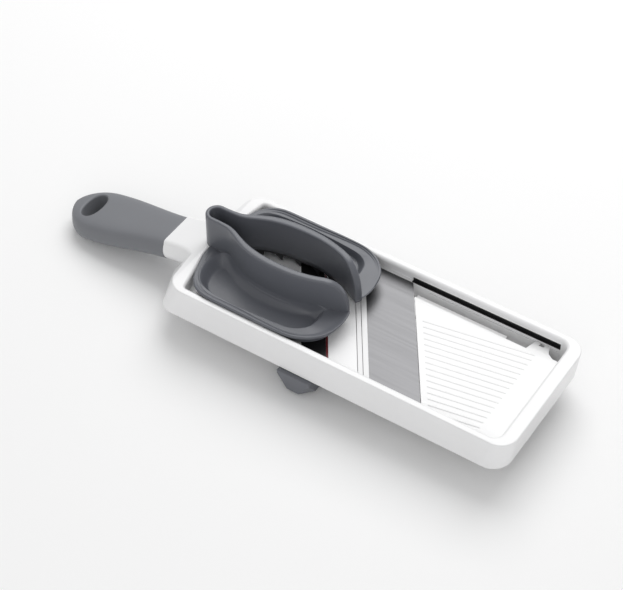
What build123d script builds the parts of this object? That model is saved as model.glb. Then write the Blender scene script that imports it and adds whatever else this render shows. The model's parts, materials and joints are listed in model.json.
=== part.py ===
from build123d import *
import os
from math import cos, pi, radians, sin, sqrt, tan

# Hand-held mandoline slicer, millimetres.
# +X runs from the handle to the far end, +Y to the far side, +Z up.
# The origin is the centre of the far end foot's underside.

# ---- tray ---------------------------------------------------------------
CREST_Z = 25.6            # top of the side rails
TRAY_FLOOR_Z = 0.8        # underside of the tray walls
TRAY_HALF_W = 55.0        # outer half width at the crest
WALL_FLARE = 1.65         # how much wider the walls stand at their foot
TRAY_END_X = 7.2          # far end, at the crest
FOOT_END_X = 4.6          # far end, at the underside
CORNER_R = 13.0
RAIL_HALF_W = 49.1        # inner half width between the rails
WELL_END_X = -3.6         # far end of the well
WELL_CORNER_R = 6.4
DECK_Z = 15.2             # landing deck, blade and closed ramp plate
DECK_T = 2.5
GROOVE_TOP_Z = 20.7       # holder groove, just above the deck
GROOVE_DEPTH = 2.5
STRIP_T = 0.6
CREST_ROUND = 2.6
OUTER_ROUND = 0.8
FOOT_ROUND = 1.0           # along the underside's outer edge

# ---- handle -------------------------------------------------------------
SEAM_X = -293.0           # where the soft grip meets the white neck
SEAM_TOP_Z = 18.6
HANDLE_FALL = 12.1        # degrees that the handle drops towards its tip
HANDLE_L = 94.5
HANDLE_T = 19.0
TOP_CORNER_R = 2.4
HANG_HOLE_FROM_TIP = 17.5
HANG_HOLE_LEN = 24.0
HANG_HOLE_W = 13.0

# ---- blade --------------------------------------------------------------
SKEW = tan(radians(33.5))  # the blade lies 33.5 degrees off square
GROOVE_LINE_1 = -141.5     # x of each skewed line where it crosses the centre
GROOVE_LINE_2 = -137.2
BLADE_BACK = -132.6
BLADE_EDGE = -92.9
BLADE_T = 0.8
SEAT_T = 2.5
LINE_GAP = 0.3             # half the width of an open joint line

# ---- thickness drive ----------------------------------------------------
KNOB_X = -154.7
KNOB_Y = -42.4
KNOB_W = 26.0
KNOB_D = 34.0
KNOB_TOP_Z = 0.4
KNOB_H = 14.8
SHAFT_R = 3.0
RUN_GAP = 0.05             # radial clearance of a running fit
MODULE = 0.9
PINION_TEETH = 12
PITCH_R = MODULE * PINION_TEETH / 2
KNOB_TURN = pi             # radians from closed to thickest
STROKE = PITCH_R * KNOB_TURN
PLATE_DROP = 4.0
WEDGE_SLOPE = PLATE_DROP / STROKE
SLIDER_Z0 = 2.4
SLIDER_Z1 = 3.4
RACK_Z1 = 6.4

# ---- ramp plate ---------------------------------------------------------
PLATE_TOP_Z = 14.7
PLATE_T = 2.0
PLATE_GAP = 0.6
PLATE_FAR_Y = 38.6
PLATE_NEAR_Y = -48.0
FLANGE_Y = 43.6            # edge of the lower shelf along the plate's far side
FLANGE_Z = 11.6
FLANGE_T = 1.4
FOOT_HALF = 2.5
FOOT_MID_Z = SLIDER_Z1 + 0.1 + PLATE_DROP + WEDGE_SLOPE * FOOT_HALF
WEDGE_GAP = 0.12

# ---- food holder --------------------------------------------------------
HOLDER_TOP_Z = 53.4
HOLDER_BASE_Z = 25.8       # rides just clear of the crest
HOLDER_WALL_Z = 23.6       # foot of the channel walls
HOLDER_RIM_Z = 29.6
DISH_FLOOR_Z = 21.8
PAN_BOTTOM_Z = 19.8
TOOTH_TIP_Z = 16.8
HOLDER_END_X = -256.3      # centre of the closed end of the channel


def block(x0, x1, y0, y1, z0, z1):
    """A box from its lowest to its highest corner."""
    size = (x1 - x0, y1 - y0, z1 - z0)
    middle = ((x0 + x1) / 2, (y0 + y1) / 2, (z0 + z1) / 2)
    return Pos(*middle) * Box(*size)


def rod(x, y, z0, z1, radius):
    """An upright cylinder."""
    return Pos(x, y, (z0 + z1) / 2) * Cylinder(radius, z1 - z0)


def skew_x(line, y):
    """Where a line parallel to the blade, named by its x at the centre, is at y."""
    return line - SKEW * y


def skew_bar(section, y0, y1):
    """Carry an (x at the centre, z) section along the blade's direction from y0 to y1."""
    corners = [(skew_x(x, y0), y0, z) for x, z in section]
    face = make_face(Polyline(*corners, close=True))
    run = Vector(-SKEW, 1, 0)
    return extrude(face, amount=(y1 - y0) * run.length, dir=run.normalized())


def skew_box(line0, line1, y0, y1, z0, z1):
    return skew_bar([(line0, z0), (line1, z0), (line1, z1), (line0, z1)], y0, y1)


def mirrored_outline(half, radii, z):
    """A face symmetric in Y from the far half's corners, each with its own fillet radius."""
    points = half + [(x, -y) for x, y in reversed(half)]
    face = make_face(Polyline(*[(x, y, z) for x, y in points], close=True))
    for (x, y), radius in zip(half, radii):
        if radius > 0:
            for side in (1, -1):
                corner = face.vertices().sort_by_distance((x, side * y, z))[0]
                face = fillet(corner, radius)
    return face


def save(node, shape):
    export_step(shape, "parts/" + node + ".step")


# ------------------------------------------------------------------ tray
def handle_plane():
    """Local frame of the handle: x runs to its tip, z is the top face's normal."""
    fall = radians(HANDLE_FALL)
    return Plane(origin=(SEAM_X, 0, SEAM_TOP_Z), x_dir=(-cos(fall), 0, -sin(fall)),
                 z_dir=(-sin(fall), 0, cos(fall)))


def grip_section(x, half_top, bulge, depth):
    """Flat top with rounded corners, bulging sides and a rounded belly, square to the handle."""
    low = 0.62 * half_top
    flat = half_top - TOP_CORNER_R
    right = ThreePointArc((half_top + 0.6, -TOP_CORNER_R), (bulge, -0.5 * depth), (low, -depth))
    left = ThreePointArc((-low, -depth), (-bulge, -0.5 * depth), (-half_top - 0.6, -TOP_CORNER_R))
    top = Line((-flat, 0), (flat, 0))
    corner = ThreePointArc((flat, 0), (half_top - 0.45, -0.75), (half_top + 0.6, -TOP_CORNER_R))
    other = ThreePointArc((-half_top - 0.6, -TOP_CORNER_R), (-half_top + 0.45, -0.75), (-flat, 0))
    bottom = Line((low, -depth), (-low, -depth))
    frame = handle_plane()
    place = Plane(origin=frame.from_local_coords((x, 0, 0)), x_dir=(0, -1, 0), z_dir=frame.x_dir)
    return place * make_face(Wire([top, corner, right, bottom, left, other]))


def neck():
    """The shoulders drawn in from the body to the seam with the grip."""
    stations = [(-33, 25, 29.5, 22.5), (-23, 18.0, 22.0, 19.6), (-12, 15.8, 19.4, 18.2),
                (0, 15.6, 19.0, HANDLE_T - 1.2)]
    return loft([grip_section(*station) for station in stations])


def tray_shell():
    """Drafted body: a wider outline at the foot, a narrower one at the crest."""
    foot = mirrored_outline([(FOOT_END_X, TRAY_HALF_W + WALL_FLARE),
                             (-267, TRAY_HALF_W + WALL_FLARE), (-281, 22)],
                            [CORNER_R + WALL_FLARE, 12, 9], TRAY_FLOOR_Z)
    crest = mirrored_outline([(TRAY_END_X, TRAY_HALF_W), (-262, TRAY_HALF_W), (-264.5, 19.5)],
                             [CORNER_R, 14, 9], CREST_Z)
    shell = loft([foot, crest])
    shell -= handle_plane() * Pos(0, 0, 10) * Box(90, 140, 20)
    top = shell.edges().filter_by(lambda e: e.center().Z > SEAM_TOP_Z + 0.5)
    outer = top.filter_by(lambda e: e.center().X > -258 and e.length > 15)
    shell = fillet(outer, OUTER_ROUND)
    foot_edges = shell.edges().filter_by(lambda e: e.center().Z < TRAY_FLOOR_Z + 0.01)
    return fillet(foot_edges.filter_by(lambda e: e.center().X > SEAM_X + 4), FOOT_ROUND)


def well_face(z, grow=0.0):
    """Plan of the well between the rails."""
    half = [(WELL_END_X + grow, RAIL_HALF_W + grow), (-250.5 - grow, RAIL_HALF_W + grow),
            (-257 - grow, 14)]
    return mirrored_outline(half, [WELL_CORNER_R + grow, 3, 6], z)


def tray_frame():
    shell = tray_shell()
    well = extrude(well_face(DECK_Z), amount=CREST_Z - DECK_Z + 1)
    body = shell - well
    rim = body.edges().filter_by(lambda e: abs(e.center().Z - CREST_Z) < 0.01)
    inner = rim.filter_by(lambda e: abs(e.center().Y) < RAIL_HALF_W + 0.5)
    inner = inner.filter_by(lambda e: WELL_END_X + 0.5 > e.center().X > -257.6)
    body = fillet(inner, CREST_ROUND)
    # hollow underneath, leaving the deck on the handle side
    under = extrude(well_face(TRAY_FLOOR_Z - 1), amount=DECK_Z - DECK_T - TRAY_FLOOR_Z + 1)
    under -= block(-300, -252, -60, 60, -5, 30)
    body -= under
    # nothing of the deck beyond the first joint line
    opening = skew_box(GROOVE_LINE_1 - LINE_GAP, 80, -RAIL_HALF_W, RAIL_HALF_W, 8, DECK_Z + 1)
    body -= opening & extrude(well_face(8), amount=DECK_Z - 7)
    body -= holder_grooves()
    body -= deck_insert_pocket()
    body += seat_flange()
    body += bearing_blocks()
    body += plate_guides()
    body -= wall_line_groove()
    body -= rod(KNOB_X, KNOB_Y, 0, 2.4, 4.5)
    body -= rod(KNOB_X, KNOB_Y, 5, 12.2, SHAFT_R + RUN_GAP)
    body -= end_foot_slot()
    body -= seat_screw_holes()
    body += neck()
    body += tang()
    return body


def holder_grooves():
    """The undercut on each wall that the holder's glides run in."""
    x0, x1 = -249, -10
    far = block(x0, x1, RAIL_HALF_W - 1, RAIL_HALF_W + GROOVE_DEPTH, DECK_Z, GROOVE_TOP_Z)
    return far + mirror(far, Plane.XZ)


def wall_line_groove():
    """A fine step line along the far wall, below the deck."""
    return block(-112, -10, RAIL_HALF_W - 0.5, RAIL_HALF_W + 0.7, 12.0, 12.7)


def deck_insert_pocket():
    return skew_box(-186.6, -164.8, -46.1, 46.1, DECK_Z - DECK_T - 1, DECK_Z + 1)


def seat_flange():
    """The shelf below the deck's edge that the blade seat is screwed to."""
    lip = skew_box(-150, GROOVE_LINE_1 - LINE_GAP, -RAIL_HALF_W, RAIL_HALF_W, 9.9, 13)
    shelf = skew_box(-150, -131, -RAIL_HALF_W, RAIL_HALF_W, 9.9, DECK_Z - 0.8 - SEAT_T)
    return lip + shelf


def bearing_blocks():
    """Lower shelf and upper block that carry the knob's shaft."""
    lower = block(KNOB_X - 11, KNOB_X + 11, -RAIL_HALF_W - 1, -36.8, TRAY_FLOOR_Z, 2.2)
    upper = block(KNOB_X - 7, KNOB_X + 7, -RAIL_HALF_W - 1, -37.0, 8.6, DECK_Z - DECK_T)
    post = block(KNOB_X - 25, KNOB_X - 20, -RAIL_HALF_W - 1, -40, 6.0, 9.4)
    return lower + upper + post


def plate_guides():
    """The upright rib that the ramp plate's ear straddles as it drops."""
    return block(-24.0, -21.0, 45.6, RAIL_HALF_W + 1, TRAY_FLOOR_Z, 10.0)


def end_foot_slot():
    return block(-1.9, 1.9, -40, 40, 0, 1.6)


def end_foot():
    foot = block(-1.9, 1.9, -40, 40, 0, 1.6)
    return fillet(foot.edges().filter_by(Axis.Z), 1.8)


SEAT_SCREW_Y = [-36, -12, 12, 36]
SEAT_SCREW_LINE = -134.6


def seat_screw_holes():
    holes = [rod(skew_x(SEAT_SCREW_LINE, y), y, 8, 13, 1.3) for y in SEAT_SCREW_Y]
    return Compound(holes)


def tang():
    """The white core inside the grip."""
    frame = handle_plane()
    return frame * Pos(29, 0, -9.2) * Box(62, 18, 6)


# ------------------------------------------------------------------ handle
def grip_outline():
    """Plan of the grip, with a round tip."""
    half = [(0, 20.4), (28, 21.6), (57, 22.9), (76, 21.2), (87.5, 15.8), (93.0, 8.0)]
    side = Spline(*half, (HANDLE_L, 0), tangents=[(1, 0.02), (0, -1)])
    other = side.mirror(Plane.XZ)
    back = Line((0, 20.4), (0, -20.4))
    face = make_face(Wire([side, other, back]))
    return handle_plane() * extrude(face, amount=30, both=True)


def handle_grip():
    stations = [(0, 15.6, 19.0, HANDLE_T - 1.2), (28, 17.2, 20.6, HANDLE_T),
                (58, 18.8, 22.4, HANDLE_T), (82, 18.6, 22.0, HANDLE_T - 1.5),
                (98, 17.2, 20.8, HANDLE_T - 3)]
    body = loft([grip_section(*station) for station in stations])
    body = body & grip_outline()
    frame = handle_plane()
    hole = frame * Pos(HANDLE_L - HANG_HOLE_FROM_TIP, 0, 0) * extrude(
        Rot(0, 0, 90) * SlotOverall(HANG_HOLE_LEN, HANG_HOLE_W), amount=40, both=True)
    body = body - hole
    return body - tang()


# ------------------------------------------------------------------ fixed fittings
def rail_strip(side):
    """Dark wear strip: an angle that lines the groove's back and floor."""
    x0 = skew_x(BLADE_EDGE, side * RAIL_HALF_W) - 1
    back_y = RAIL_HALF_W + GROOVE_DEPTH - STRIP_T
    back = block(x0, -10.2, back_y, RAIL_HALF_W + GROOVE_DEPTH, DECK_Z, GROOVE_TOP_Z)
    floor = block(x0, -10.2, RAIL_HALF_W + 0.05, back_y, DECK_Z, DECK_Z + STRIP_T)
    strip = back + floor
    return strip if side > 0 else mirror(strip, Plane.XZ)


def blade_seat():
    top = DECK_Z
    ledge = top - BLADE_T
    section = [(GROOVE_LINE_2 + LINE_GAP, ledge - SEAT_T), (BLADE_EDGE - 4, ledge - SEAT_T),
               (BLADE_EDGE - 1.6, ledge - 0.9), (BLADE_EDGE - 1.6, ledge), (BLADE_BACK, ledge),
               (BLADE_BACK, top), (GROOVE_LINE_2 + LINE_GAP, top)]
    seat = skew_bar(section, -RAIL_HALF_W + 0.1, RAIL_HALF_W - 0.1)
    pilots = [rod(skew_x(SEAT_SCREW_LINE, y), y, 11, 14.4, 1.3) for y in SEAT_SCREW_Y]
    return seat - Compound(pilots)


def clamp_strip():
    return skew_box(GROOVE_LINE_1 + LINE_GAP, GROOVE_LINE_2 - LINE_GAP,
                    -RAIL_HALF_W + 0.1, RAIL_HALF_W - 0.1, DECK_Z - BLADE_T - SEAT_T, DECK_Z)


def slicing_blade():
    """Thin plate ground on its underside to the cutting edge."""
    low = DECK_Z - BLADE_T
    section = [(BLADE_BACK + 0.05, low), (BLADE_EDGE - 2.4, low), (BLADE_EDGE, DECK_Z - 0.12),
               (BLADE_EDGE, DECK_Z), (BLADE_BACK + 0.05, DECK_Z)]
    return skew_bar(section, -RAIL_HALF_W + 0.15, RAIL_HALF_W - 0.15)


def cross_screw(x, y, z_head, z_tip, r_head=2.6, r_shank=1.25):
    """A pan-head screw driven up from below, with a cross recess."""
    head = rod(x, y, z_head, z_head + 1.8, r_head)
    head = fillet(head.edges().filter_by(GeomType.CIRCLE).sort_by(Axis.Z)[0], 0.6)
    recess = Pos(x, y, z_head + 0.5) * (Box(2.8, 0.7, 1.1) + Box(0.7, 2.8, 1.1))
    return head + rod(x, y, z_head + 1.8, z_tip, r_shank) - recess


def blade_screws():
    return Compound([cross_screw(skew_x(SEAT_SCREW_LINE, y), y, 8.1, 14.2) for y in SEAT_SCREW_Y])


def deck_insert():
    return skew_box(-186.5, -166.6, -46, 46, DECK_Z - DECK_T, DECK_Z - 0.05)


def deck_insert_stripe():
    return skew_box(-166.5, -164.9, -46, 46, DECK_Z - DECK_T, DECK_Z)


BAR_LEFT_X = -86.0
BAR_RIGHT_X = -14.0


def guide_bar(x):
    """A bar across the underside that the slider runs on."""
    bar = block(x - 4, x + 4, -RAIL_HALF_W + 0.1, RAIL_HALF_W - 0.1, TRAY_FLOOR_Z, 2.2)
    fence = block(x - 4, x + 4, 39.6, 41.0, 2.2, 4.0)
    return bar + fence


def shaft_bush():
    return rod(KNOB_X, KNOB_Y, TRAY_FLOOR_Z, 2.4, 4.45) - rod(KNOB_X, KNOB_Y, 0, 3, SHAFT_R + RUN_GAP)


def click_spring():
    """Leaf whose nose lies at the click disc's rim."""
    tip_x = KNOB_X - 6.35
    leaf = block(KNOB_X - 20, tip_x - 1.2, KNOB_Y - 0.2, KNOB_Y + 0.2, 6.9, 7.8)
    nose = Pos(tip_x - 1.0, KNOB_Y, 7.35) * Cylinder(0.95, 0.9)
    return leaf + nose


# ------------------------------------------------------------------ ramp plate
def plate_outline(z):
    """Skewed edge beside the blade, stepped far edge with its guide ear."""
    line = BLADE_EDGE + PLATE_GAP
    right = WELL_END_X - 0.4
    points = [(skew_x(line, PLATE_NEAR_Y), PLATE_NEAR_Y), (right, PLATE_NEAR_Y), (right, 39.3),
              (-10.5, 39.3), (-15.0, 42.0), (-17.0, 46.7), (-28.0, 46.7), (-30.5, PLATE_FAR_Y),
              (skew_x(line, PLATE_FAR_Y), PLATE_FAR_Y)]
    face = make_face(Polyline(*[(x, y, z) for x, y in points], close=True))
    corner = face.vertices().sort_by_distance((right, PLATE_NEAR_Y, z))[0]
    return fillet(corner, WELL_CORNER_R - 0.4)


RIDGE_PITCH = 5.0
RIDGE_COUNT = 16
RIDGE_END_X = -22.0
RIDGE_TURN = 10.0


def ridge(index):
    """One low rounded ridge, turned a little off the plate's length."""
    lean = tan(radians(RIDGE_TURN))
    y1 = PLATE_NEAR_Y + 9 + index * RIDGE_PITCH
    start = BLADE_EDGE + 6
    x0 = (start - SKEW * (y1 - RIDGE_END_X * lean)) / (1 + SKEW * lean)
    y0 = y1 + lean * (x0 - RIDGE_END_X)
    length = sqrt((RIDGE_END_X - x0) ** 2 + (y1 - y0) ** 2)
    middle = Pos((x0 + RIDGE_END_X) / 2, (y0 + y1) / 2, PLATE_TOP_Z - 0.75)
    bar = middle * Rot(0, 0, RIDGE_TURN) * Rot(0, 90, 0) * Cylinder(1.1, length)
    return bar & block(-140, -8, PLATE_NEAR_Y + 1, PLATE_FAR_Y - 1.5, PLATE_TOP_Z - 1.2, DECK_Z + 0.2)


def ramp_plate():
    top = extrude(plate_outline(PLATE_TOP_Z - PLATE_T), amount=PLATE_T)
    web = block(-118, -47.5, PLATE_FAR_Y - 1.4, PLATE_FAR_Y, FLANGE_Z - FLANGE_T, PLATE_TOP_Z)
    flange = block(-118, -47.5, PLATE_FAR_Y - 1.4, FLANGE_Y, FLANGE_Z - FLANGE_T, FLANGE_Z)
    plate = top + (web + flange - skew_box(-200, BLADE_EDGE + PLATE_GAP, 30, 50, 0, 30))
    for index in range(RIDGE_COUNT):
        plate += ridge(index)
    leg = block(-28.0, -17.0, 43.6, 48.6, 9.4, PLATE_TOP_Z - 0.1)
    plate += leg
    return plate - block(-24.25, -20.75, 45.3, 50, 5, 20)


FEET = [(-58.0, -45.4, -39.4), (-26.0, -45.4, -39.4), (-108.0, 30.8, 36.8), (-26.0, 30.8, 36.8)]


def ramp_foot(x, y0, y1):
    """A pad under the plate, sloped like the wedge that it rests on."""
    under = PLATE_TOP_Z - PLATE_T
    rise = WEDGE_SLOPE * FOOT_HALF
    points = [(x - FOOT_HALF, y0, under), (x + FOOT_HALF, y0, under),
              (x + FOOT_HALF, y0, FOOT_MID_Z - rise), (x - FOOT_HALF, y0, FOOT_MID_Z + rise)]
    return extrude(make_face(Polyline(*points, close=True)), amount=y1 - y0, dir=(0, 1, 0))


def ramp_feet():
    return Compound([ramp_foot(*foot) for foot in FEET])


# ------------------------------------------------------------------ slider
def wedge(x, y0, y1):
    """The slope under one foot; it lowers the foot as the slider goes to the handle."""
    rise = WEDGE_SLOPE * FOOT_HALF
    high = FOOT_MID_Z + rise - WEDGE_GAP
    far_x = x + FOOT_HALF + STROKE
    low = FOOT_MID_Z - rise - PLATE_DROP - WEDGE_GAP
    points = [(x - FOOT_HALF, y0, SLIDER_Z0), (far_x, y0, SLIDER_Z0), (far_x, y0, low),
              (x - FOOT_HALF, y0, high)]
    return extrude(make_face(Polyline(*points, close=True)), amount=y1 - y0, dir=(0, 1, 0))


RACK_PITCH_Y = KNOB_Y + PITCH_R
RACK_ADDENDUM = 0.6
RACK_DEDENDUM = 1.0
BACKLASH = 0.14


def rack_teeth():
    """Straight-sided 20 degree teeth facing the pinion, a tooth gap at the pinion's centre."""
    pitch = pi * MODULE
    lean = tan(radians(20))
    half = pitch / 4 - BACKLASH / 2
    teeth = []
    for step in range(-3, 10):
        x = KNOB_X + (step + 0.5) * pitch
        tip_y = RACK_PITCH_Y - RACK_ADDENDUM
        root_y = RACK_PITCH_Y + RACK_DEDENDUM
        tip = half - lean * RACK_ADDENDUM
        root = half + lean * RACK_DEDENDUM
        points = [(x - root, root_y, SLIDER_Z0), (x - tip, tip_y, SLIDER_Z0),
                  (x + tip, tip_y, SLIDER_Z0), (x + root, root_y, SLIDER_Z0)]
        tooth = extrude(make_face(Polyline(*points, close=True)), amount=RACK_Z1 - SLIDER_Z0)
        teeth.append(tooth)
    return teeth


def wedge_slider():
    root_y = RACK_PITCH_Y + RACK_DEDENDUM
    arm = block(-172, -36, root_y, root_y + 4, SLIDER_Z0, RACK_Z1)
    near_rail = block(-62, -6.5, -46, -38.4, SLIDER_Z0, SLIDER_Z1)
    far_rail = block(-113, -6.5, 31, 39, SLIDER_Z0, SLIDER_Z1)
    ties = block(-37, -29, -40, 32, SLIDER_Z0, SLIDER_Z1) + block(-13, -6.5, -40, 32, SLIDER_Z0, SLIDER_Z1)
    link = block(-62, -36, -40, root_y + 1, SLIDER_Z0, SLIDER_Z1)
    slider = arm + near_rail + far_rail + ties + link
    for foot in FEET:
        slider += wedge(*foot)
    for tooth in rack_teeth():
        slider += tooth
    return slider


# ------------------------------------------------------------------ knob group
def involute(base_r, angle):
    """Point on the involute of a circle after unrolling through an angle."""
    return (base_r * (cos(angle) + angle * sin(angle)), base_r * (sin(angle) - angle * cos(angle)))


def drive_pinion():
    """Involute spur gear, a tooth pointing at the rack."""
    base_r = PITCH_R * cos(radians(20))
    tip_r = PITCH_R + MODULE
    root_r = PITCH_R - 1.25 * MODULE
    at_pitch = sqrt((PITCH_R / base_r) ** 2 - 1)
    flank_turn = at_pitch - radians(20)
    half_tooth = pi / 2 / PINION_TEETH - 0.01
    end = sqrt((tip_r / base_r) ** 2 - 1)
    start = half_tooth + flank_turn
    flank = [(root_r * cos(start), root_r * sin(start))]
    for step in range(6):
        x, y = involute(base_r, end * step / 5)
        turn = start
        flank.append((x * cos(turn) + y * sin(turn), x * sin(turn) - y * cos(turn)))
    outline = [(x, -y) for x, y in flank] + list(reversed(flank))
    tooth = make_face(Polyline(*outline, close=True))
    gear = Circle(root_r)
    for index in range(PINION_TEETH):
        gear += Rot(0, 0, 90 + 360 * index / PINION_TEETH) * tooth
    solid = extrude(gear, amount=RACK_Z1 - SLIDER_Z0 - 0.3)
    solid -= Cylinder(SHAFT_R + 0.02, 20)
    return Pos(KNOB_X, KNOB_Y, SLIDER_Z0 + 0.3) * solid


def click_disc():
    disc = rod(KNOB_X, KNOB_Y, 6.7, 8.0, 6.2) - rod(KNOB_X, KNOB_Y, 6, 9, SHAFT_R + 0.02)
    for index in range(12):
        turn = radians(30 * index)
        disc -= rod(KNOB_X + 6.9 * cos(turn), KNOB_Y + 6.9 * sin(turn), 6, 9, 1.1)
    return disc


def knob_shaft():
    shaft = rod(KNOB_X, KNOB_Y, -9, 12.0, SHAFT_R)
    return shaft - rod(KNOB_X, KNOB_Y, -9.5, -2, 1.3)


def knob_screw():
    return cross_screw(KNOB_X, KNOB_Y, KNOB_TOP_Z - KNOB_H + 0.6, -3, 3.2, 1.25)


def adjuster_knob():
    """Square above and eight-sided below, with a triangular facet at each corner."""
    x0, x1 = -KNOB_W / 2, KNOB_W / 2
    y0, y1 = -KNOB_D / 2, KNOB_D / 2
    body = Pos(0, 0, -KNOB_H / 2) * Box(KNOB_W, KNOB_D, KNOB_H)
    reach_x, reach_y = 8.5, 9.5
    for sx in (1, -1):
        for sy in (1, -1):
            apex = Vector(sx * x1, sy * y1, -2.0)
            a = Vector(sx * (x1 - reach_x), sy * y1, -KNOB_H)
            b = Vector(sx * x1, sy * (y1 - reach_y), -KNOB_H)
            plane = Plane(origin=apex, z_dir=(a - apex).cross(b - apex) * (sx * sy))
            body = split(body, bisect_by=plane, keep=Keep.BOTTOM if (
                plane.to_local_coords(Vector(0, 0, -5)).Z < 0) else Keep.TOP)
    body = fillet(body.edges(), 0.7)
    body -= Pos(0, 0, -4) * Cylinder(SHAFT_R + 0.02, 11)
    body -= Pos(0, 0, -12) * Cylinder(1.4, 8)
    body -= Pos(0, 0, -KNOB_H) * Cylinder(3.4, 4.9)
    return Pos(KNOB_X, KNOB_Y, KNOB_TOP_Z) * body


# ------------------------------------------------------------------ food holder
INNER_WALL = [(-241, 5.4), (-234.7, 7.0), (-228.7, 9.9), (-222.6, 12.7), (-212, 15.6),
              (-195, 17.1), (-180, 16.7), (-166, 13.5), (-153, 8.1), (-146.6, 4.8)]
OUTER_WALL = [(-241, 8.9), (-234.7, 12.0), (-226, 16.4), (-216, 19.9), (-200, 22.2),
              (-184, 22.0), (-170, 19.6), (-158, 15.8), (-146.0, 11.0)]
WING_EDGE = [(-258.6, 10), (-255, 24), (-252.0, 34), (-248.6, 43), (-241, 49.0), (-234, 50.9)]
WING_EDGE_RIGHT = [(-162, 50.6), (-153, 46.8), (-144.6, 36.0), (-141.4, 21.0), (-144.0, 6.0)]


def closed_end(radius, half, z):
    """Keyhole plan: round closed end, then the half curve and its mirror, open end squared."""
    cx = HOLDER_END_X
    curve = [(cx, radius)] + half
    far = Spline(*[(x, y, z) for x, y in curve], tangents=[(1, 0), (1, -0.6)])
    near = far.mirror(Plane.XZ)
    arc = ThreePointArc((cx, radius, z), (cx - radius, 0, z), (cx, -radius, z))
    end = Line((*half[-1], z), (half[-1][0], -half[-1][1], z))
    return make_face(Wire([arc, far, end, near]))


def channel_walls():
    """Two curved walls joined round the closed end."""
    outer = extrude(closed_end(8.0, OUTER_WALL, HOLDER_WALL_Z), amount=HOLDER_TOP_Z - HOLDER_WALL_Z)
    inner = extrude(closed_end(5.0, INNER_WALL, HOLDER_WALL_Z - 1),
                    amount=HOLDER_TOP_Z - HOLDER_WALL_Z + 2)
    slot = block(-147.5, -130, -4.8, 4.8, 10, 60)
    walls = outer - inner - slot
    walls -= block(-275, -254, -20, 20, 10, HOLDER_BASE_Z)
    # the open end falls away in a quarter round
    reach, drop = 15.0, HOLDER_TOP_Z - HOLDER_BASE_Z
    centre_x = -146.0 - reach
    nose = block(centre_x, -130, -30, 30, HOLDER_BASE_Z, 70)
    keep = scale(Cylinder(1.0, 60), (reach, drop, 1))
    nose -= Pos(centre_x, 0, HOLDER_BASE_Z) * Rot(90, 0, 0) * keep
    return walls - nose


def wing_face(z, inset=0.0):
    """Plan of both wings together, optionally drawn in from its edge."""
    left = Spline(*[(x + inset, y - 0.9 * inset, z) for x, y in WING_EDGE])
    right = Spline(*[(x - inset, y - 0.9 * inset, z) for x, y in WING_EDGE_RIGHT])
    far = [left, Line(left @ 1, right @ 0), right]
    near = [edge.mirror(Plane.XZ) for edge in far]
    back = Line(left @ 0, near[0] @ 0)
    front = Line(right @ 1, near[2] @ 1)
    return make_face(Wire(far + near + [back, front]))


def channel_void(z, height, grow=0.0):
    """The space inside the channel walls, open at its far end."""
    half = [(x, y + grow) for x, y in INNER_WALL]
    void = extrude(closed_end(5.0 + grow, half, z), amount=height)
    return void + block(-148, -130, -4.8 - grow, 4.8 + grow, z, z + height)


DISH_EDGE = [(-250.5, 15.0), (-240, 15.5), (-227, 20.0), (-214, 24.2), (-198, 25.6), (-184, 25.0),
             (-170, 22.4), (-158, 18.6), (-149.5, 16.0), (-144.6, 24.0), (-147.5, 34.5),
             (-155, 43.3), (-167, 47.8), (-200, 48.6), (-232, 48.4), (-243, 45.0), (-249.5, 35.0),
             (-252.0, 24.0)]
DISH_SPINE = (-225.0, -172.0)
DISH_MID_Y = 35.0


def dish_ring(side, z, shrink):
    """The dish's edge, drawn in towards its spine."""
    ring = []
    for x, y in DISH_EDGE:
        spine_x = min(max(x, DISH_SPINE[0]), DISH_SPINE[1])
        ring.append((spine_x + (x - spine_x) * shrink,
                     side * (DISH_MID_Y + (y - DISH_MID_Y) * shrink), z))
    return make_face(Spline(*ring, periodic=True))


def dish(side):
    """The scooped finger dish of one wing."""
    depth = HOLDER_RIM_Z - DISH_FLOOR_Z
    rings = [dish_ring(side, HOLDER_RIM_Z + 1, 1.03), dish_ring(side, HOLDER_RIM_Z, 1.0),
             dish_ring(side, HOLDER_RIM_Z - 0.6 * depth, 0.86), dish_ring(side, DISH_FLOOR_Z, 0.66)]
    return loft(rings)


def food_holder():
    slab = extrude(wing_face(HOLDER_BASE_Z), amount=HOLDER_RIM_Z - HOLDER_BASE_Z)
    pan = extrude(wing_face(PAN_BOTTOM_Z, 3.0), amount=HOLDER_BASE_Z - PAN_BOTTOM_Z)
    pan &= block(-248.5, -130, -48.4, 48.4, 0, 60)
    beside = [(x, y + 0.4) for x, y in OUTER_WALL]
    pan -= extrude(closed_end(8.4, beside, PAN_BOTTOM_Z - 1), amount=HOLDER_WALL_Z - PAN_BOTTOM_Z + 1)
    pan -= block(-148, -130, -12, 12, 0, HOLDER_WALL_Z)
    body = slab + pan
    body -= channel_void(PAN_BOTTOM_Z - 1, 20, 0.0)
    for side in (1, -1):
        body -= dish(side)
    body += channel_walls()
    return body


TOOTH_X = [-233.0, -220.0, -206.0, -191.0, -178.0, -167.0]


def wall_y(x):
    """Half width of the channel at x, on straight runs between the wall's points."""
    for (x0, y0), (x1, y1) in zip(INNER_WALL, INNER_WALL[1:]):
        if x0 <= x <= x1:
            return y0 + (y1 - y0) * (x - x0) / (x1 - x0)
    return INNER_WALL[0][1]


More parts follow.
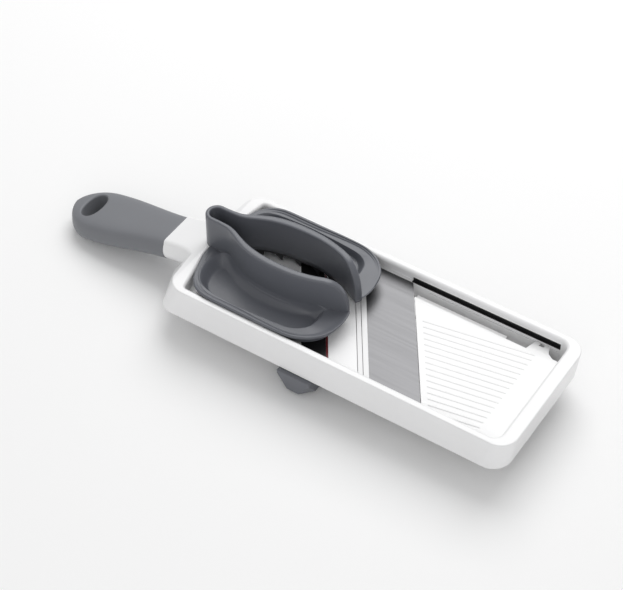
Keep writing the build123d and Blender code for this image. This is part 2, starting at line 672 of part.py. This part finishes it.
def tooth_comb(side):
    """A row of pointed teeth under one channel wall, joined by a curved strip."""
    z0 = HOLDER_WALL_Z - 1.8
    curve = [(x, wall_y(x)) for x in TOOTH_X]
    near = Spline(*[(x, side * (y + 0.7), z0) for x, y in curve])
    away = Spline(*[(x, side * (y + 2.7), z0) for x, y in curve])
    strip = extrude(make_face(Wire([near, away, Line(near @ 0, away @ 0), Line(near @ 1, away @ 1)])),
                    amount=1.8)
    comb = strip
    for (x, y), (next_x, next_y) in zip(curve, curve[1:]):
        along = Vector(next_x - x, side * (next_y - y), 0).normalized()
        root = Vector(x, side * (y + 1.0), 0) + along * 1.6
        points = [root + Vector(0, 0, z0 + 0.3), root + along * 6.6 + Vector(0, 0, z0 + 0.3),
                  root + along * 5.6 + Vector(0, 0, TOOTH_TIP_Z)]
        face = make_face(Polyline(*points, close=True))
        across = Vector(-along.Y, along.X, 0) * side
        comb += extrude(face, amount=1.3, dir=across)
    return comb


GLIDE_X = [-236.0, -164.0]


def holder_glide(x, side):
    """Hook clipped under a wing: a leg inside the rail and a toe in the groove."""
    inner, outer = 46.6, RAIL_HALF_W - 0.3
    leg = block(x - 4, x + 4, inner, outer, 16.2, PAN_BOTTOM_Z)
    toe = block(x - 4, x + 4, outer - 0.5, RAIL_HALF_W + 1.3, 16.2, 18.6)
    hook = leg + toe
    return hook if side > 0 else mirror(hook, Plane.XZ)


def holder_glides():
    return Compound([holder_glide(x, side) for x in GLIDE_X for side in (1, -1)])


def main():
    os.makedirs("parts", exist_ok=True)
    save("tray_frame", tray_frame())
    save("handle_grip", handle_grip())
    save("end_foot", end_foot())
    save("rail_strip_far", rail_strip(1))
    save("rail_strip_near", rail_strip(-1))
    save("blade_seat", blade_seat())
    save("clamp_strip", clamp_strip())
    save("slicing_blade", slicing_blade())
    save("blade_screws", blade_screws())
    save("deck_insert", deck_insert())
    save("deck_insert_stripe", deck_insert_stripe())
    save("guide_bar_left", guide_bar(BAR_LEFT_X))
    save("guide_bar_right", guide_bar(BAR_RIGHT_X))
    save("shaft_bush", shaft_bush())
    save("click_spring", click_spring())
    save("ramp_plate", ramp_plate())
    save("ramp_feet", ramp_feet())
    save("wedge_slider", wedge_slider())
    save("drive_pinion", drive_pinion())
    save("click_disc", click_disc())
    save("knob_shaft", knob_shaft())
    save("knob_screw", knob_screw())
    save("adjuster_knob", adjuster_knob())
    save("food_holder", food_holder())
    save("tooth_comb_far", tooth_comb(1))
    save("tooth_comb_near", tooth_comb(-1))
    save("holder_glides", holder_glides())


main()
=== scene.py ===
import json
import math

import bmesh
import bpy
import numpy as np
from mathutils import Matrix, Vector


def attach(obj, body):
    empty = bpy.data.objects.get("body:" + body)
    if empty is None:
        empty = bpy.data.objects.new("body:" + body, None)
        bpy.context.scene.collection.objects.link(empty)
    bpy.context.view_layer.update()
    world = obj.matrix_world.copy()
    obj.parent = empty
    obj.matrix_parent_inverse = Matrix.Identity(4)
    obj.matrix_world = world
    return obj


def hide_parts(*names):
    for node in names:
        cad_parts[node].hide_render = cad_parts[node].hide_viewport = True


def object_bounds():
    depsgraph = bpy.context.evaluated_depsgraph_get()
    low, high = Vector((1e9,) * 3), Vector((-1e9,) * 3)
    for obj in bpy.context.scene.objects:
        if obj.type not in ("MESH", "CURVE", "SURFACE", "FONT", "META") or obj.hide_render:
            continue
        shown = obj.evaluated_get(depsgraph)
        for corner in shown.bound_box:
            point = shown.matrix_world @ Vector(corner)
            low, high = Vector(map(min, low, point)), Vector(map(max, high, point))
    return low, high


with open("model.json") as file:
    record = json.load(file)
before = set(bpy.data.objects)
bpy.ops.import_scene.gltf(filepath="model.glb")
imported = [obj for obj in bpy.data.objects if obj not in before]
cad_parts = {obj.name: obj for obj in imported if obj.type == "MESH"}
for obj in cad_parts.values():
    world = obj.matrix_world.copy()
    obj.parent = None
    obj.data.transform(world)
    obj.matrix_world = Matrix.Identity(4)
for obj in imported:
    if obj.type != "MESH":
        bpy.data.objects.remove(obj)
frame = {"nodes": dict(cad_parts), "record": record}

cad_low, cad_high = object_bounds()
MM = 0.001

# ---------------------------------------------------------------- plastic, rubber and steel

def new_finish(name, colour, rough, **shader):
    """A shader with one plain colour, roughness, and any other socket by its name."""
    finish = bpy.data.materials.new(name)
    finish.use_nodes = True
    surface = finish.node_tree.nodes["Principled BSDF"]
    surface.inputs["Base Color"].default_value = (*colour, 1)
    surface.inputs["Roughness"].default_value = rough
    for socket, value in shader.items():
        surface.inputs[socket.replace("_", " ")].default_value = value
    return finish


def add(finish, kind, **settings):
    """A shader node with its settings."""
    node = finish.node_tree.nodes.new(kind)
    for key, value in settings.items():
        setattr(node, key, value)
    return node


def noise(finish, per_metre, detail=4.0, stretch=(1, 1, 1), turn=0.0):
    """Noise on the piece's own coordinates; stretch below one draws the grain out along an axis."""
    links = finish.node_tree.links
    place = add(finish, "ShaderNodeTexCoord")
    mapping = add(finish, "ShaderNodeMapping")
    mapping.inputs["Rotation"].default_value = (0, 0, turn)
    mapping.inputs["Scale"].default_value = stretch
    grain = add(finish, "ShaderNodeTexNoise")
    grain.inputs["Scale"].default_value = per_metre
    grain.inputs["Detail"].default_value = detail
    links.new(place.outputs["Object"], mapping.inputs["Vector"])
    links.new(mapping.outputs["Vector"], grain.inputs["Vector"])
    return grain.outputs["Fac"]


def spread(finish, fac, low, high, into):
    """Carry a 0 to 1 pattern to low..high on a shader socket."""
    links = finish.node_tree.links
    band = add(finish, "ShaderNodeMapRange")
    band.inputs["To Min"].default_value = low
    band.inputs["To Max"].default_value = high
    links.new(fac, band.inputs["Value"])
    links.new(band.outputs["Result"], finish.node_tree.nodes["Principled BSDF"].inputs[into])


def tint(finish, fac, dark, light):
    """Mottle the base colour between two near shades."""
    links = finish.node_tree.links
    mix = add(finish, "ShaderNodeMix", data_type="RGBA")
    mix.inputs["A"].default_value = (*dark, 1)
    mix.inputs["B"].default_value = (*light, 1)
    links.new(fac, mix.inputs["Factor"])
    base = finish.node_tree.nodes["Principled BSDF"].inputs["Base Color"]
    links.new(mix.outputs["Result"], base)


def relief(finish, fac, depth, strength):
    """Bump of a real depth in metres."""
    links = finish.node_tree.links
    bump = add(finish, "ShaderNodeBump")
    bump.inputs["Distance"].default_value = depth
    bump.inputs["Strength"].default_value = strength
    links.new(fac, bump.inputs["Height"])
    links.new(bump.outputs["Normal"], finish.node_tree.nodes["Principled BSDF"].inputs["Normal"])


def shades(colour, amount):
    """The same colour a little darker and a little lighter."""
    return [c * (1 - amount) for c in colour], [min(1.0, c * (1 + amount)) for c in colour]


def moulded(name, colour, rough, pores=1400, depth=0.00002, strength=0.25, **shader):
    """Injection-moulded plastic: slow cloudy tint, fine pore relief and uneven gloss."""
    finish = new_finish(name, colour, rough, **shader)
    tint(finish, noise(finish, 35), *shades(colour, 0.03))
    spread(finish, noise(finish, 220), rough * 0.85, rough * 1.15, "Roughness")
    relief(finish, noise(finish, pores, detail=2.0), depth, strength)
    return finish


def ground_steel(name, colour, rough, turn):
    """Steel with grinding lines drawn out along one direction."""
    finish = new_finish(name, colour, rough, Metallic=1.0)
    lines = noise(finish, 900, detail=3.0, stretch=(0.02, 1, 1), turn=turn)
    tint(finish, lines, *shades(colour, 0.06))
    spread(finish, lines, rough * 0.8, rough * 1.25, "Roughness")
    relief(finish, lines, 0.000008, 0.3)
    return finish


BLADE_TURN = math.radians(33.5)    # the blade's skew, which its grinding lines follow
GREY = (0.118, 0.124, 0.142)
FINISHES = {
    "white_body": moulded("tray_white", (0.87, 0.87, 0.875), 0.30, strength=0.12, Coat_Weight=0.15),
    "white_parts": moulded("fitting_white", (0.85, 0.85, 0.855), 0.34, strength=0.15),
    "ramp_white": moulded("ramp_white", (0.89, 0.89, 0.892), 0.32, strength=0.12, Coat_Weight=0.15),
    "grip_grey": moulded("grip_rubber", (0.175, 0.181, 0.197), 0.50, pores=2400, depth=0.00004,
                         strength=0.4, Sheen_Weight=0.08, Sheen_Roughness=0.6),
    "holder_grey": moulded("holder_plastic", GREY, 0.32, pores=2000, depth=0.00003, strength=0.3),
    "knob_grey": moulded("knob_plastic", (0.15, 0.156, 0.175), 0.42, pores=2000, depth=0.00003,
                         strength=0.3),
    # painted shade: the blade's steel is toned far darker than the screw steel below, so that it
    # mirrors less of the key lamp
    "blade_steel": ground_steel("blade_steel", (0.185, 0.185, 0.19), 0.42, BLADE_TURN),
    "steel": ground_steel("screw_steel", (0.58, 0.58, 0.57), 0.3, 0.0),
    # black plastic parts; this black also colours the strips lining the side grooves, where it is
    # painted shade standing in for the shade deep in the slot
    "black_plastic": moulded("black_plastic", (0.012, 0.012, 0.013), 0.38, pores=1800),
    "red_plastic": moulded("dark_red_plastic", (0.14, 0.008, 0.012), 0.35),
    "acetal": moulded("natural_acetal", (0.78, 0.78, 0.76), 0.42),
    "foot_rubber": moulded("foot_rubber", (0.12, 0.122, 0.13), 0.7, pores=2600, depth=0.00005,
                           strength=0.5),
}

slot_of = {row["node"]: row["material_slot"] for row in frame["record"]["subparts"]}
for name, node in frame["nodes"].items():
    node.data.materials.clear()
    node.data.materials.append(FINISHES[slot_of[name]])

# ---------------------------------------------------------------- shapes

def round_trip(points, count):
    """Closed smooth curve through points: each span is the cubic whose end slopes are half the
    step between its neighbours."""
    p = np.array(points, float)
    place = np.linspace(0, len(p), count, endpoint=False)
    i = place.astype(int)
    f = (place - i)[:, None]
    a, b, c, d = p[i - 1], p[i], p[(i + 1) % len(p)], p[(i + 2) % len(p)]
    return 0.5 * (2 * b + (c - a) * f + (2 * a - 5 * b + 4 * c - d) * f**2
                  + (3 * b - a - 3 * c + d) * f**3)


def through(points, at):
    """Open curve by the same cubic, read at fractions of its control points."""
    p = np.array(points, float)
    p = np.vstack([2 * p[0] - p[1], p, 2 * p[-1] - p[-2]])
    place = np.clip(at, 0, 1 - 1e-9) * (len(p) - 3)
    i = place.astype(int)
    f = (place - i)[:, None]
    a, b, c, d = p[i], p[i + 1], p[i + 2], p[i + 3]
    return 0.5 * (2 * b + (c - a) * f + (2 * a - 5 * b + 4 * c - d) * f**2
                  + (3 * b - a - 3 * c + d) * f**3)


def ease(q):
    """Smooth step: 3q^2 - 2q^3 on 0 to 1."""
    q = np.clip(q, 0, 1)
    return q * q * (3 - 2 * q)


def signed_power(value, power):
    """sign(v) |v|^p, the coordinate of a superellipse."""
    return np.sign(value) * np.abs(value)**power


def ring_faces(rings, count, start=0):
    """Quads between successive closed rings of count points, and a cap on the first and last."""
    row = np.arange(rings - 1)[:, None] * count
    here = np.arange(count)[None, :]
    after = (here + 1) % count
    quads = np.stack([row + here, row + after, row + count + after, row + count + here], axis=-1)
    faces = (quads.reshape(-1, 4) + start).tolist()
    faces.append(list(range(start + count - 1, start - 1, -1)))
    last = start + (rings - 1) * count
    faces.append(list(range(last, last + count)))
    return faces


def shells(name, finish, parts, merge=0.004):
    """One piece from closed shells, each (rings, points, 3) in millimetres, normals outwards."""
    faces, start = [], 0
    for rings in parts:
        count, points = rings.shape[:2]
        faces += ring_faces(count, points, start)
        start += count * points
    vertices = np.vstack([rings.reshape(-1, 3) for rings in parts])
    mesh = bpy.data.meshes.new(name)
    mesh.from_pydata((vertices * MM).tolist(), [], faces)
    shape = bmesh.new()
    shape.from_mesh(mesh)
    bmesh.ops.remove_doubles(shape, verts=shape.verts, dist=merge * MM)
    bmesh.ops.dissolve_degenerate(shape, edges=shape.edges, dist=merge * MM * 0.5)
    bmesh.ops.recalc_face_normals(shape, faces=shape.faces)
    for face in shape.faces:
        face.smooth = True
    shape.to_mesh(mesh)
    shape.free()
    mesh.materials.append(finish)
    piece = bpy.data.objects.new(name, mesh)
    bpy.context.scene.collection.objects.link(piece)
    return piece


# ---------------------------------------------------------------- food holder

WALL_FOOT_Z = 23.6
WALL_TOP_Z = 53.4
WALL_H = WALL_TOP_Z - WALL_FOOT_Z
RIM_ROUND = 1.7
RIM_POWER = 0.62               # the crown's squareness
FALL_START_X = -162.0
FALL_REACH = 18.9
FALL_EXPONENT = 2.4            # the quarter in which the wall falls away
FALL_POWER = 2 / FALL_EXPONENT
FALL_NORMAL_POWER = 1.2
CLOSED_END_X = -256.3
CLOSED_INNER_R = 5.0
CLOSED_OUTER_R = 8.0
# (x, inner half width, outer x, outer half width) of the far channel wall
WALL_LINE = [(-256.3, 5.0, -256.3, 8.0), (-248, 5.1, -248, 8.2), (-241, 5.6, -241, 9.3),
             (-235.5, 7.2, -234.8, 12.2), (-229, 10.2, -227.5, 16.0), (-221, 13.4, -219.2, 19.4),
             (-212, 15.6, -210.8, 21.3), (-203, 16.7, -202.2, 22.2), (-193, 17.1, -192.6, 22.4),
             (-182, 16.7, -181, 21.7), (-172, 15.1, -170.5, 19.8), (-164, 12.8, -162.4, 17.5),
             (-157, 9.9, -155, 14.6), (-151.5, 7.2, -149.4, 12.0), (-146.6, 4.6, -143.8, 9.4),
             (-143.8, 3.2, -141.2, 8.0)]


def wall_stations():
    """Inner and outer plan points of the far wall from the closed end to the mouth, its height as
    a fraction, and the normal (x, z) of its top line. The closed end is round. The fall at the
    mouth is a superellipse quarter: x = sin(t)^p, height = cos(t)^p with p = 2 / exponent."""
    line = np.array(WALL_LINE)
    at = np.linspace(0, 1, 400)
    inner_run, outer_run = through(line[:, :2], at), through(line[:, 2:], at)
    middle_x = (inner_run[:, 0] + outer_run[:, 0]) / 2
    turn = np.linspace(0, math.pi / 2, 30)
    fall_x = FALL_START_X + FALL_REACH * np.sin(turn)**FALL_POWER
    flat_x = np.linspace(middle_x[0], FALL_START_X, 90)[:-1]
    pick = np.interp(np.concatenate([flat_x, fall_x]), middle_x, at)
    inner = np.stack([np.interp(pick, at, inner_run[:, k]) for k in (0, 1)], axis=1)
    outer = np.stack([np.interp(pick, at, outer_run[:, k]) for k in (0, 1)], axis=1)

    bend = np.linspace(math.pi, math.pi / 2, 12)[:-1]
    round_end = np.stack([np.cos(bend), np.sin(bend)], axis=1)
    end_centre = np.array([CLOSED_END_X, 0.0])
    inner = np.vstack([end_centre + CLOSED_INNER_R * round_end, inner])
    outer = np.vstack([end_centre + CLOSED_OUTER_R * round_end, outer])

    level = len(bend) + len(flat_x)
    height = np.concatenate([np.ones(level), np.cos(turn).clip(0)**FALL_POWER])
    normal_x = np.concatenate([np.zeros(level), np.sin(turn)**FALL_NORMAL_POWER / FALL_REACH])
    normal_z = np.concatenate([np.ones(level),
                               np.cos(turn).clip(0)**FALL_NORMAL_POWER / WALL_H])
    size = np.hypot(normal_x, normal_z)
    return inner, outer, height, normal_x / size, normal_z / size


def wall_section():
    """Round the wall's section, up the inner face, over the crown and down the outer face: the
    place across it (0 inner to 1 outer), the depth below its rim, and the share of the way down
    to its foot. The crown is a superellipse: across = cos(t)^p, depth = 1 - sin(t)^p."""
    crown = np.linspace(0, math.pi, 17)
    face = np.linspace(0, 1, 9)[1:]
    over = 0.5 - 0.5 * signed_power(np.cos(crown), RIM_POWER)
    crown_depth = RIM_ROUND * (1 - np.sin(crown).clip(0)**RIM_POWER)
    full_depth = np.full(len(face), RIM_ROUND)
    across = np.concatenate([np.zeros(len(face)), over, np.ones(len(face))])
    depth = np.concatenate([full_depth, crown_depth, full_depth])
    drop = np.concatenate([face[::-1], np.zeros(len(crown)), face])
    return across, depth, drop


def channel_walls():
    """Upright wall round the keyhole channel: the section carried along the plan, sunk square to
    the wall's top line, with the near wall mirrored from the far one."""
    inner, outer, height, normal_x, normal_z = wall_stations()
    across, depth, drop = wall_section()
    plan = inner[:, None, :] + (outer - inner)[:, None, :] * across[None, :, None]
    along = np.gradient((inner + outer) / 2, axis=0)
    along /= np.linalg.norm(along, axis=1, keepdims=True)
    plan = plan - along[:, None, :] * (normal_x[:, None] * depth[None, :])[:, :, None]
    top = WALL_FOOT_Z + WALL_H * height
    rim = np.maximum(top[:, None] - normal_z[:, None] * depth[None, :], WALL_FOOT_Z)
    z = rim - (rim - WALL_FOOT_Z) * drop[None, :]
    far = np.concatenate([plan, z[:, :, None]], axis=2)
    near = far[::-1].copy()
    near[:, :, 1] *= -1
    return np.concatenate([near[:-1], far])


FLOOR_Z = 21.8
PAN_Z = 19.9
WING_BASE_Z = 25.85
# Far wing, round its outline: outer edge x, y; floor edge x, y; slope width; height at the
# slope's top; rim bead, 0 to 1; cove, 1 where the slope sweeps up into the channel wall.
WING = [
    (-257.0, 6.5, -240.4, 18.0, 9.5, 28.0, 0, 0),
    (-250.0, 7.0, -238.0, 17.2, 10.0, 28.2, 0, 0.2),
    (-241.0, 8.2, -232.0, 20.5, 12.7, 30.6, 0, 0.9),
    (-227.0, 14.0, -223.2, 25.6, 9.8, 31.5, 0, 1),
    (-212.0, 19.0, -210.6, 30.0, 9.4, 31.5, 0, 1),
    (-197.0, 20.4, -197.0, 31.6, 9.7, 31.5, 0, 1),
    (-183.0, 19.8, -185.0, 30.8, 9.5, 31.5, 0, 1),
    (-170.0, 17.0, -174.8, 27.8, 8.8, 31.5, 0, 1),
    (-158.0, 12.4, -167.0, 23.4, 7.9, 30.6, 0, 0.9),
    (-149.0, 9.0, -162.4, 22.6, 8.0, 28.8, 0, 0.4),
    (-142.4, 7.2, -160.2, 23.4, 6.6, 28.2, 0, 0),
    (-140.2, 15.0, -160.0, 27.0, 6.4, 28.2, 0, 0),
    (-140.4, 24.0, -160.8, 31.5, 6.2, 28.2, 0.1, 0),
    (-142.8, 34.0, -162.6, 35.6, 6.0, 28.1, 0.4, 0),
    (-148.6, 41.8, -166.0, 39.2, 4.6, 27.6, 0.8, 0),
    (-156.6, 47.2, -171.0, 41.3, 3.6, 27.0, 1, 0),
    (-166.0, 50.1, -178.5, 42.3, 3.0, 26.8, 1, 0),
    (-182.0, 50.9, -190.0, 42.6, 3.0, 26.8, 1, 0),
    (-200.0, 50.9, -203.0, 42.7, 3.0, 26.8, 1, 0),
    (-218.0, 50.9, -216.0, 42.6, 3.0, 26.8, 1, 0),
    (-233.0, 50.4, -228.0, 42.2, 3.0, 26.8, 1, 0),
    (-242.0, 47.4, -235.0, 40.4, 4.0, 27.2, 0.8, 0),
    (-248.0, 41.8, -239.0, 36.6, 6.0, 27.8, 0.4, 0),
    (-252.0, 34.0, -240.9, 31.0, 8.0, 28.2, 0.1, 0),
    (-255.3, 24.0, -241.6, 25.6, 9.0, 28.2, 0, 0),
    (-257.4, 15.0, -241.4, 21.2, 9.5, 28.1, 0, 0),
]
WING_POINTS = 260
FLOOR_LAP = 0.6                # the floor's cap starts this far inside the slope's foot
COVE_REACH = 0.99              # share of the cove's quarter that is used
RIM_Z = 28.3
BEAD_W = 4.6
LAND_MIN = 1.2                 # narrowest land between the slope and the edge
LAND_START = 0.4
EDGE_DROP = 1.2                # how far the land falls to a plain edge
EDGE_ROUND = 0.8
UNDER_CHAMFER = 0.35
LIP_H = 0.5                    # straight part of the edge
UNDER_RIM = 3.4                # flat underside between the edge and the pan
PAN_SIDE = [(WING_BASE_Z - 0.4, 3.8), (PAN_Z + 0.6, 4.2), (PAN_Z, 5.0)]    # height, inset
WELL_X = -248.2                # the pan stays inside the tray's well
WELL_Y = 48.2


def cove_rise(q):
    """Rise of the sweep into the wall: 1 - sqrt(1 - (c q)^3), scaled to end at 1."""
    full = 1 - math.sqrt(1 - COVE_REACH**3)
    return (1 - math.sqrt(1 - (COVE_REACH * q)**3)) / full


def bead_step(q):
    """Profile of the rim bead: a first eased step, a fine ledge, then a second one."""
    return 0.42 * ease(q / 0.3) + 0.58 * ease((q - 0.42) / 0.16)


def edge_round(q):
    """Fall over the last fifth of the rim, as a quarter circle."""
    return EDGE_ROUND * (1 - np.sqrt(np.clip(1 - ((q - 0.8) / 0.2).clip(0)**2, 0, 1)))


def wing(side):
    """Finger wing: level floor, eased slope up to a land or a cove into the channel wall, land out
    to the edge with a rim bead along the long side, rounded edge, then a shallow pan underneath."""
    line = round_trip(WING, WING_POINTS)
    edge, floor = line[:, 0:2], line[:, 2:4]
    slope, land = line[:, 4], line[:, 5]
    bead, cove = line[:, 6].clip(0, 1), line[:, 7].clip(0, 1)
    out = edge - floor
    width = np.linalg.norm(out, axis=1)
    out = out / width[:, None]
    edge_z = land - EDGE_DROP * (1 - bead)

    def ring(reach, z):
        plan = floor + out * np.broadcast_to(reach, width.shape)[:, None]
        return np.column_stack([plan, np.broadcast_to(z, width.shape)])

    rings = [ring(-FLOOR_LAP, FLOOR_Z)]
    for q in np.sin(np.linspace(0, math.pi / 2, 17)):
        rise = ease(q) * (1 - cove) + cove_rise(q) * cove
        rings.append(ring(slope * q, FLOOR_Z + (land - FLOOR_Z) * rise))
    start = np.minimum(slope + LAND_START, width - LAND_MIN)
    bead_start = np.maximum(width - BEAD_W, start)
    for q in np.linspace(0, 1, 4)[1:]:
        z = land + (edge_z - land) * q * (1 - bead)
        rings.append(ring(start + (bead_start - start) * q, z))
    for q in np.linspace(0, 1, 17)[1:]:
        rise = (RIM_Z - land) * bead * bead_step(q)
        z = edge_z * (1 - bead) + land * bead + rise - edge_round(q)
        rings.append(ring(bead_start + (width - bead_start) * q, z))
    rings.append(ring(width, WING_BASE_Z + LIP_H))
    rings.append(ring(width - UNDER_CHAMFER, WING_BASE_Z))
    rings.append(ring(width - UNDER_RIM, WING_BASE_Z))
    for z, inset in PAN_SIDE:
        low = ring(width - inset, z)
        low[:, 0] = np.maximum(low[:, 0], WELL_X)
        low[:, 1] = np.minimum(low[:, 1], WELL_Y)
        rings.append(low)
    shell = np.array(rings)
    shell[:, :, 1] *= side
    return shell


def food_holder():
    """Channel walls and both wings as one moulded piece."""
    holder = shells("food_holder_body", FINISHES["holder_grey"],
                    [channel_walls(), wing(1), wing(-1)])
    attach(holder, "holder")
    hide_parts("food_holder")


# ---------------------------------------------------------------- grip

SEAM = np.array([-293.0, 0.0, 18.6])
FALL = math.radians(12.1)
GRIP_LEN = 94.0
GRIP_DEEP = 18.8
TIP_START = 66.0
SWELL_END = 62.0
SWELL = 4.4                    # how much each half width grows from the seam to there
SEAM_HALF_TOP = 15.6
SEAM_HALF_MID = 19.0
SEAM_SHALLOW = 1.0             # the belly is this much shallower at the seam
TIP_DEEP = 0.32                # share of the depth left at the very tip
TIP_SINK = 0.9
HOLE_FROM_SEAM = 77.0
HOLE_HALF = (7.2, 12.4)
HOLE_FLARE = 1.5


def handle_space(local):
    """Points (along, across, above) on the handle, carried to the tray's frame."""
    along = np.array([-math.cos(FALL), 0, -math.sin(FALL)])
    above = np.array([-math.sin(FALL), 0, math.cos(FALL)])
    across = np.array([0, -1, 0])
    return SEAM + local[..., 0:1] * along + local[..., 1:2] * across + local[..., 2:3] * above


def grip_body():
    """Superellipse sections along the handle: flat on top, widest at mid depth, rounded belly.
    The half width swells towards the tip and closes there as (1 - q^2.3)^(1 / 2.2)."""
    tip = np.sin(np.linspace(0, math.pi / 2, 44))
    run = np.concatenate([np.linspace(0, TIP_START, 40)[:-1],
                          TIP_START + (GRIP_LEN - TIP_START) * tip])
    q = ((run - TIP_START) / (GRIP_LEN - TIP_START)).clip(0, 1)
    close = (1 - q**2.3).clip(0)**(1 / 2.2)
    deep_close = (1 - q**5.0).clip(0)**(1 / 2.0)
    grow = ease(run / SWELL_END)
    half_top = (SEAM_HALF_TOP + SWELL * grow) * close
    half_mid = (SEAM_HALF_MID + SWELL * grow) * close
    deep = GRIP_DEEP - SEAM_SHALLOW + SEAM_SHALLOW * grow
    deep = deep * (TIP_DEEP + (1 - TIP_DEEP) * deep_close)
    turn = np.linspace(0, 2 * math.pi, 112, endpoint=False)
    c, s = np.cos(turn), np.sin(turn)
    across = signed_power(c, 0.60)
    height = np.where(s > 0, signed_power(s, 0.30), signed_power(s, 0.72))
    level = 0.5 * (height + 1)
    draw_in = ease((level - 0.45) / 0.55)[None, :]
    half = half_mid[:, None] + (half_top - half_mid)[:, None] * draw_in
    sink = TIP_SINK * q[:, None]**3
    local = np.stack([np.broadcast_to(run[:, None], half.shape), half * across[None, :],
                      -deep[:, None] * (1 - level)[None, :] - sink], axis=-1)
    return handle_space(local)


def hole_cutter():
    """Oval tube through the grip, flared at both mouths so that the edges come out rounded."""
    drop = np.linspace(3.0, -GRIP_DEEP - 5.0, 60)
    top_flare = ease((drop + 1.7) / 1.7)**2
    low_flare = ease((-drop - GRIP_DEEP + 3.2) / 2.4)**2
    flare = HOLE_FLARE * top_flare + HOLE_FLARE * low_flare
    turn = np.linspace(0, 2 * math.pi, 72, endpoint=False)
    ring_x = signed_power(np.cos(turn), 0.9)[None, :]
    ring_y = signed_power(np.sin(turn), 0.9)[None, :]
    x = HOLE_FROM_SEAM + (HOLE_HALF[0] + flare)[:, None] * ring_x
    y = (HOLE_HALF[1] + flare)[:, None] * ring_y
    local = np.stack([x, y, np.broadcast_to(drop[:, None], x.shape)], axis=-1)
    return handle_space(local)


def handle_grip():
    """The grip with its hanging hole cut through."""
    grip = shells("handle_grip_body", FINISHES["grip_grey"], [grip_body()], merge=0.02)
    cutter = shells("hole_cutter", FINISHES["grip_grey"], [hole_cutter()])
    cut = grip.modifiers.new("hole", "BOOLEAN")
    cut.operation = "DIFFERENCE"
    cut.solver = "EXACT"
    cut.object = cutter
    bpy.context.view_layer.update()
    shape = bpy.data.meshes.new_from_object(grip.evaluated_get(
        bpy.context.evaluated_depsgraph_get()))
    grip.modifiers.clear()
    grip.data = shape
    bpy.data.objects.remove(cutter)
    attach(grip, "tray")
    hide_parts("handle_grip")


food_holder()
handle_grip()

# ---------------------------------------------------------------- studio

CAMERA_PLACE = Vector((0.3198, -0.7647, 0.9724))
CAMERA_AZIMUTH = math.radians(33.06)
CAMERA_RISE = math.radians(46.36)
CAMERA_ROLL = math.radians(0.13)
LENS = 110.5


def studio_camera():
    """A long lens that looks down on the part from the near side."""
    a, e = CAMERA_AZIMUTH, CAMERA_RISE
    back = Vector((math.sin(a) * math.cos(e), -math.cos(a) * math.cos(e), math.sin(e)))
    right = Vector((math.cos(a), math.sin(a), 0))
    up = back.cross(right)
    turn = Matrix((right, up, back)).transposed() @ Matrix.Rotation(CAMERA_ROLL, 3, "Z")
    camera = bpy.data.objects.new("studio_camera", bpy.data.cameras.new("studio_camera"))
    camera.data.lens = LENS
    camera.data.clip_start = 0.05
    camera.data.clip_end = 20
    camera.rotation_mode = "QUATERNION"
    camera.rotation_quaternion = turn.to_quaternion()
    camera.location = CAMERA_PLACE
    bpy.context.scene.collection.objects.link(camera)
    bpy.context.scene.camera = camera


def soft_box(name, place, aim, size, watts):
    """A square area light that looks at a point."""
    lamp = bpy.data.lights.new(name, "AREA")
    lamp.shape = "SQUARE"
    lamp.size = size
    lamp.energy = watts
    stand = bpy.data.objects.new(name, lamp)
    stand.location = place
    stand.rotation_mode = "QUATERNION"
    stand.rotation_quaternion = (Vector(aim) - Vector(place)).to_track_quat("-Z", "Y")
    bpy.context.scene.collection.objects.link(stand)


FLOOR_REACH = 6.0
FLOOR_GAP = 0.0002


def pale_floor():
    """A plain sheet just below the part."""
    level = cad_low.z - FLOOR_GAP
    signs = [(-1, -1), (1, -1), (1, 1), (-1, 1)]
    corners = [(x * FLOOR_REACH, y * FLOOR_REACH, level) for x, y in signs]
    mesh = bpy.data.meshes.new("floor")
    mesh.from_pydata(corners, [], [(0, 1, 2, 3)])
    floor = bpy.data.objects.new("floor", mesh)
    mesh.materials.append(new_finish("floor_paper", (0.93, 0.93, 0.93), 0.9))
    bpy.context.scene.collection.objects.link(floor)


def room_light(strength):
    """Even white light from all round."""
    world = bpy.data.worlds.new("room")
    world.use_nodes = True
    world.node_tree.nodes["Background"].inputs["Color"].default_value = (1, 1, 1, 1)
    world.node_tree.nodes["Background"].inputs["Strength"].default_value = strength
    bpy.context.scene.world = world


middle = (cad_low + cad_high) / 2
studio_camera()
pale_floor()
room_light(0.52)
soft_box("key_light", (-0.45, 1.05, 1.5), middle, 1.5, 22)
soft_box("fill_light", (0.5, -1.3, 0.9), middle, 1.4, 5)
bpy.context.scene.view_settings.view_transform = "Standard"
